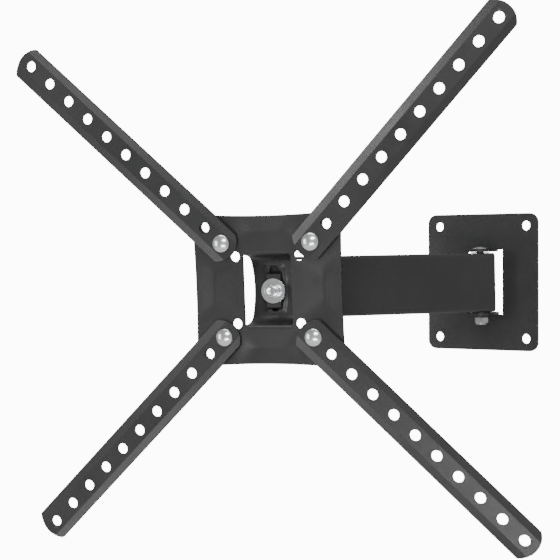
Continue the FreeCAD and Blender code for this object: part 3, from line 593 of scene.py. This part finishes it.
def makeSaddle(p, s):
    # the side section carried across x; the slot's borders are raised towards the tilt axis
    def whole(offset):
        # the half curve and its mirror image below
        c = saddleCurve(offset)
        return np.vstack([c, (c * (-1, 1))[-2::-1]])

    front, back = whole(0.0), whole(p["thick"])
    t0 = s["slotHalfWide"]
    t1 = t0 + s["lipTop"]
    half = np.array([0, 1.5, t0 + 0.6, t1, t1 + 1.0, t1 + 2.2, t1 + s["lipSlope"], 14, s["halfWide"]])
    across = np.concatenate([-half[:0:-1], half])
    tilt = saddleStart()[3]
    angle = np.degrees(np.arctan2(front[:, 0], front[:, 1] - tilt[1]))
    fade = np.clip((s["slotHalfDeg"] + s["lipRunOut"] / 2 - np.abs(angle)) / s["lipRunOut"], 0, 1)
    fade = fade * fade * (3 - 2 * fade)
    side = np.clip((t1 + s["lipSlope"] - np.abs(across)) / s["lipSlope"], 0, 1)
    side = side * side * (3 - 2 * side)
    rise = fade[:, None] * side[None, :] * s["lipHigh"]
    toAxis = tilt - front
    toAxis = toAxis / np.linalg.norm(toAxis, axis=1)[:, None]

    def surface(curve, lift):
        # the curve carried across x and lifted towards the tilt axis
        u = curve[:, None, :] + toAxis[:, None, :] * lift[:, :, None]
        x = np.broadcast_to(across, lift.shape)
        return np.stack([x, p["front"] + u[..., 1], u[..., 0]], -1)

    sides = surface(front, rise), surface(back, rise * s["lipBack"])
    obj = closedSheet("tvPlateSaddle", *sides, plateFrame)
    slotHigh = math.sin(math.radians(s["slotHalfDeg"])) * s["arc"]
    r = s["slotHalfWide"] * 0.999  # off the grid line at the slot's edge
    a = np.radians(np.linspace(0, 180, 15))
    cap = np.column_stack([r * np.cos(a), slotHigh - r + r * np.sin(a)])
    cutWith(obj, prism("slot", np.vstack([cap, -cap]), *s["slotCut"], plateFrame))
    return softEdges(obj, s["edgeRound"], 2, 45)


tvPlate = joined("tvPlate", [makePlateSheet(plate), makeSaddle(plate, saddle)])
finish(smoothBelow(tvPlate, 38), coat, "plate", "black_paint", "tv_plate")
print("television plate made")


adapter = {
    "thick": 2.0, "flat": 8.4, "strip": 6.6, "stripDeg": 17.0, "creaseRound": 2.2,
    "inner": 12.8, "first": 19.6, "pitch": 23.2, "holes": 10, "outer": 12.0, "endRound": 18.0,
    "holeR": 4.5, "neck": 3.55, "edgeRound": 0.35, "cutReach": 9.0,
}


def adapterSection(a):
    # half width and height of the middle line: flat web, a round crease, then the leaning strip;
    # the crease takes tan(lean / 2) times its radius and half the thickness from either side
    lean = math.radians(a["stripDeg"])
    r = a["creaseRound"]
    t = np.linspace(0, lean, 7)
    taken = math.tan(lean / 2) * (a["thick"] / 2 + r)
    z0 = a["flat"] - taken
    crease = np.column_stack([z0 + r * np.sin(t), r * (1 - np.cos(t))])
    tip = crease[-1] + (a["strip"] - taken) * np.array([math.cos(lean), math.sin(lean)])
    mids = np.linspace(crease[-1], tip, 5)[1:]
    web = np.column_stack([np.linspace(0, z0, 6)[:-1], np.zeros(5)])
    half = np.vstack([web, crease, mids])
    turn = np.concatenate([np.zeros(5), t, np.full(4, lean)])
    z = np.concatenate([-half[::-1, 0], half[1:, 0]])
    rise = np.concatenate([half[::-1, 1], half[1:, 1]])
    turn = np.concatenate([-turn[::-1], turn[1:]])
    return z, rise, turn


def makeAdapter(a):
    # both faces of the section, half a thickness to either side of the middle line, carried
    # along x; each line stops short by the bow of the round ends
    z, rise, turn = adapterSection(a)
    far = a["first"] + a["pitch"] * (a["holes"] - 1) + a["outer"]
    r = a["endRound"]
    sides = []
    for s in (-1, 1):
        zz = z + s * np.sin(turn) * a["thick"] / 2
        yy = -rise + s * np.cos(turn) * a["thick"] / 2
        bow = r - np.sqrt(np.maximum(r * r - zz * zz, 0))
        x0 = -a["inner"] + bow
        x1 = far - bow
        t = np.linspace(0, 1, 90)[:, None]
        x = x0 + (x1 - x0) * t
        sides.append(np.stack([x, np.broadcast_to(yy, x.shape), np.broadcast_to(zz, x.shape)], -1))
    obj = closedSheet("adapterBlank", *sides, np.eye(4))
    k, reach = a["neck"], a["cutReach"]
    cutters = [prism("neck", box2d(-k, k, -k, k), -reach, reach, np.eye(4))]
    for h in range(a["holes"]):
        hole = circle(a["first"] + a["pitch"] * h, 0, a["holeR"])
        cutters.append(prism("hole", hole, -reach, reach, np.eye(4)))
    cutWith(obj, joined("cutters", cutters))
    return softEdges(obj, a["edgeRound"], 3, 45)


blank = makeAdapter(adapter)
for c in corners:
    arm = bpy.data.objects.new("adapterArm_" + c, blank.data.copy())
    bpy.context.scene.collection.objects.link(arm)
    arm.data.transform(Matrix(adapterFrame(c).tolist()))
    finish(arm, coat, "adapter_" + c, "black_paint", "adapter_arm_" + c)
bpy.data.objects.remove(blank)
print("adapter arms made")


carriage = {
    "r": 3.175, "pitch": 1.27, "deep": 0.72, "threadStart": 5.5,
    "headR": 7.3, "headHigh": 3.3, "neckHalf": 3.45, "neckDeep": 2.0, "neckRound": 0.2,
    "rim": 0.25,  # the straight share of a head's height
}
axisGap = 0.04  # a turned outline stops this far from its axis
hardwareRound = 0.22


def makeThread(name, radius, deep, pitch, start, end, place, turnSteps=28):
    # a rod along y, less a V groove that winds round once per pitch, fading in over two turns,
    # and less a cone at its far end
    y = np.concatenate([[start], np.arange(start + 0.05, end, pitch / 8), [end]])
    a = np.arange(turnSteps) * 2 * np.pi / turnSteps
    yy, aa = np.meshgrid(y, a, indexing="ij")
    phase = (yy / pitch - aa / (2 * np.pi)) % 1.0
    groove = deep * np.clip(1 - np.abs(phase - 0.5) * 2.4, 0, 1)
    fade = np.clip((yy - start) / (2 * pitch), 0, 1)
    r = radius - groove * fade - np.clip((yy - end + 0.7) / 0.7, 0, 1) * deep
    pts = np.stack([r * np.cos(aa), yy, r * np.sin(aa)], -1)
    rows = len(y)
    faces = gridFaces(rows, turnSteps, False, True).tolist()
    faces.append(list(range(turnSteps)))
    faces.append(list(range(rows * turnSteps - 1, (rows - 1) * turnSteps - 1, -1)))
    return outward(meshObject(name, placed(pts, place), faces))


def domeProfile(radius, high, steps=14):
    # a cap of a ball on a short rim, closed along the underside; the ball's radius is
    # (radius squared + rise squared) / (2 rise)
    rim = high * carriage["rim"]
    rise = high - rim
    ball = (radius**2 + rise**2) / (2 * rise)
    a = np.linspace(math.asin(radius / ball), 0.02, steps)
    cap = np.column_stack([ball * np.sin(a), rim + ball * np.cos(a) - (ball - rise)])
    edge = np.array([(axisGap, 0.0), (radius - 0.25, 0.0), (radius, 0.22)])
    return np.vstack([edge, cap, [(axisGap, high)]])


def makeCarriageBolt(name, c, headR, headHigh, neckDeep, length, threadStart, place):
    # domed head, square neck, plain shank and thread, each a closed shell
    head = turnedPiece("head", domeProfile(headR, headHigh), place)
    k = c["neckHalf"]
    neck = softEdges(prism("neck", box2d(-k, k, -k, k), -0.05, neckDeep, place), c["neckRound"])
    shank = [(axisGap, 0.0), (c["r"], 0.0), (c["r"], -threadStart), (axisGap, -threadStart)]
    plain = turnedPiece("plain", shank, place, 32)
    thread = makeThread("thread", c["r"], c["deep"], c["pitch"], threadStart - 0.02, length, place)
    return smoothBelow(joined(name, [head, neck, plain, thread]), 40)


def nodeSpan(node, place):
    # lowest and highest y of a CAD node in a piece's own axes, in millimetres
    co = np.empty(len(frame["nodes"][node].data.vertices) * 3, np.float32)
    frame["nodes"][node].data.vertices.foreach_get("co", co)
    local = (co.reshape(-1, 3) - place[:3, 3]) @ place[:3, :3] / mm
    return local[:, 1].min(), local[:, 1].max()


for c in corners:
    place = adapterFrame(c)
    seat = place.copy()
    seat[:3, 3] = place[:3, 3] - place[:3, 1] * adapter["thick"] / 2 * mm
    end = nodeSpan("arm_bolt_" + c, seat)[1]
    sizes = (carriage[k] for k in ("headR", "headHigh", "neckDeep"))
    bolt = makeCarriageBolt("armBolt_" + c, carriage, *sizes, end, carriage["threadStart"], seat)
    shine = makePlated("bright_plate_" + c, platedSteel["bright"], seat, boltRings)
    finish(bolt, shine, "adapter_" + c, "bright_zinc", "arm_bolt_" + c)
    dull = makePlated("zinc_" + c, platedSteel["zinc"], seat)
    for kind in ("washer", "nut"):
        node = "arm_%s_%s" % (kind, c)
        finish(softCopy(node, hardwareRound), dull, "adapter_" + c, "zinc", node)
print("adapter bolts made")


hinge = {"headR": 6.8, "headHigh": 2.4, "neckDeep": 2.4, "threadLong": 14.0, "spacerRound": 0.15}


def hingeSpan(node, point):
    # lowest and highest point of a CAD node along the hinge's upright, in millimetres from a point
    mesh = frame["nodes"][node].data
    co = np.empty(len(mesh.vertices) * 3, np.float32)
    mesh.vertices.foreach_get("co", co)
    h = (co.reshape(-1, 3) - point) @ up / mm
    return h.min(), h.max()


def hingePlace(point, high):
    # a place whose own y axis runs down the hinge, for a bolt dropped in from above
    m = np.eye(4)
    m[:3, 1] = -up
    m[:3, 0] = unit(np.cross(m[:3, 1], (0, 1, 0)))
    m[:3, 2] = np.cross(m[:3, 0], m[:3, 1])
    m[:3, 3] = point + up * high * mm
    return m


for label, axis, body in (("wall", wallAxis, "wall"), ("head", headAxis, "arm")):
    node = label + "_hinge_bolt"
    low, high = hingeSpan(node, axis)
    high -= hinge["headHigh"]
    place = hingePlace(axis, high)
    length = high - low
    threadStart = length - hinge["threadLong"]
    sizes = (hinge[k] for k in ("headR", "headHigh", "neckDeep"))
    bolt = makeCarriageBolt(label + "HingeBolt", carriage, *sizes, length, threadStart, place)
    shine = makePlated("bright_plate_" + label, platedSteel["bright"], place, boltRings)
    finish(bolt, shine, body, "bright_zinc", node)
    dull = makePlated("zinc_" + label, platedSteel["zinc"], place)
    part = label + "_hinge_nut"
    finish(softCopy(part, hardwareRound), dull, body, "zinc", part)
    part = label + "_hinge_washer"
    finish(softCopy(part, hardwareRound), coat, body, "black_paint", part)
    for end in ("upper", "lower"):
        part = "%s_hinge_spacer_%s" % (label, end)
        finish(softCopy(part, hinge["spacerRound"]), nylon, body, "nylon", part)
print("hinge bolts made")


sheetRound = 0.4
for node, body in (("wall_plate", "wall"), ("link_arm", "arm"), ("swivel_head", "head")):
    finish(softCopy(node, sheetRound), coat, body, "black_paint", node)
padRound = 0.2
clampRound = 0.5
finish(softCopy("friction_pad", padRound), fibre, "head", "friction_pad", "friction_pad")
finish(softCopy("tilt_clamp_block", clampRound, 3), coat, "head", "black_paint", "tilt_clamp_block")
print("plates and arm made")


tiltHardware = (  # node, plating, rings per metre, material slot
    ("tilt_washer", "bright", 1500.0, "bright_zinc"),
    ("tilt_spring_washer", "zinc", 600.0, "zinc"),
    ("tilt_screw", "bright", nutRings, "zinc"),
    ("tilt_nut", "zinc", nutRings, "zinc"),
)
tiltRound = 0.25
for node, kind, rings, slotName in tiltHardware:
    look = makePlated("plated_" + node, platedSteel[kind], headFrame, rings)
    finish(softCopy(node, tiltRound), look, "head", slotName, node)
print("tilt clamp made")


cameraView = {
    "place": (0.5583, -1.1790, 0.0177), "yaw": 33.313, "pitch": -0.683, "roll": 0.186,
    "lens": 93.27, "sensor": 36.0, "farthest": 60.0,
}
studio = {
    "floorLow": 0.62, "floorRadius": 1.55, "floorSteps": 96, "floorTone": 0.85,
    "seen": 12.0,  # the world's strength where it is seen, then what it lends as light
    "dark": 0.40, "bright": 0.50, "towards": (0.90, 0.35, -0.25), "from": -0.45, "to": 0.75,
}
lights = {
    # degrees round to the right of the front, degrees up, distance, width, height, power
    "lowFront": (20.0, -25.0, 1.7, 0.8, 0.5, 17.0),
    "highFront": (26.0, 24.0, 1.7, 0.7, 0.4, 9.0),
    "top": (10.0, 70.0, 1.6, 1.4, 0.7, 12.0),
    "left": (-40.0, -2.0, 1.7, 0.6, 0.9, 5.0),
}


def makeCamera(v):
    # turned by yaw about the upright, then pitched up from level and rolled about its own view
    data = bpy.data.cameras.new("camera")
    data.lens = v["lens"]
    data.sensor_width = v["sensor"]
    data.clip_end = v["farthest"]
    cam = bpy.data.objects.new("camera", data)
    bpy.context.scene.collection.objects.link(cam)
    turn = Matrix.Rotation(math.radians(v["yaw"]), 4, "Z")
    nod = Matrix.Rotation(math.radians(90 + v["pitch"]), 4, "X")
    lean = Matrix.Rotation(math.radians(-v["roll"]), 4, "Z")
    cam.matrix_world = Matrix.Translation(v["place"]) @ turn @ nod @ lean
    bpy.context.scene.camera = cam


def softBox(name, target, values):
    # an area light that looks at the target from the given direction and distance
    azimuth, height, far, wide, high, power = values
    a, e = math.radians(azimuth), math.radians(height)
    away = Vector((math.sin(a) * math.cos(e), -math.cos(a) * math.cos(e), math.sin(e)))
    data = bpy.data.lights.new(name, "AREA")
    data.shape = "RECTANGLE"
    data.size, data.size_y = wide, high
    data.energy = power
    obj = bpy.data.objects.new(name, data)
    bpy.context.scene.collection.objects.link(obj)
    obj.location = target + away * far
    obj.rotation_euler = (-away).to_track_quat("-Z", "Y").to_euler()
    obj.visible_camera = False


def makeWorld(s):
    # white where it is seen; what it lends as light grows from dark on the left to bright on the right
    world = bpy.data.worlds.new("studio")
    bpy.context.scene.world = world
    world.use_nodes = True
    tree = world.node_tree
    back = tree.nodes["Background"]
    back.inputs["Color"].default_value = (1, 1, 1, 1)
    co = tree.nodes.new("ShaderNodeTexCoord")
    side = addNode(tree, "ShaderNodeVectorMath", {"operation": "DOT_PRODUCT"})
    side.inputs[1].default_value = s["towards"]
    tree.links.new(co.outputs["Generated"], side.inputs[0])
    lent = ramp(tree, s["from"], s["to"], s["dark"], s["bright"])
    tree.links.new(side.outputs["Value"], lent.inputs["Value"])
    path = tree.nodes.new("ShaderNodeLightPath")
    pick = tree.nodes.new("ShaderNodeMix")
    pick.data_type = "FLOAT"
    pick.inputs["B"].default_value = s["seen"]
    tree.links.new(path.outputs["Is Camera Ray"], pick.inputs["Factor"])
    tree.links.new(lent.outputs["Result"], pick.inputs["A"])
    tree.links.new(pick.outputs["Result"], back.inputs["Strength"])


def makeStudio(s):
    # a round floor well below the mount, the world and the soft boxes
    rim = circle(0, 0, s["floorRadius"], s["floorSteps"])
    rim = np.column_stack([rim, np.full(len(rim), -s["floorLow"])])
    floor = meshObject("floor", rim, [list(range(len(rim)))], smooth=False)
    m, _, shader = principled("pale_floor", {"Roughness": 0.9, "Specular IOR Level": 0.1})
    shader.inputs["Base Color"].default_value = (s["floorTone"],) * 3 + (1,)
    floor.data.materials.append(m)
    makeWorld(s)
    middle = Vector(plateFrame[:3, 3])
    for name, values in lights.items():
        softBox(name, middle, values)


makeCamera(cameraView)
makeStudio(studio)
print("studio made")
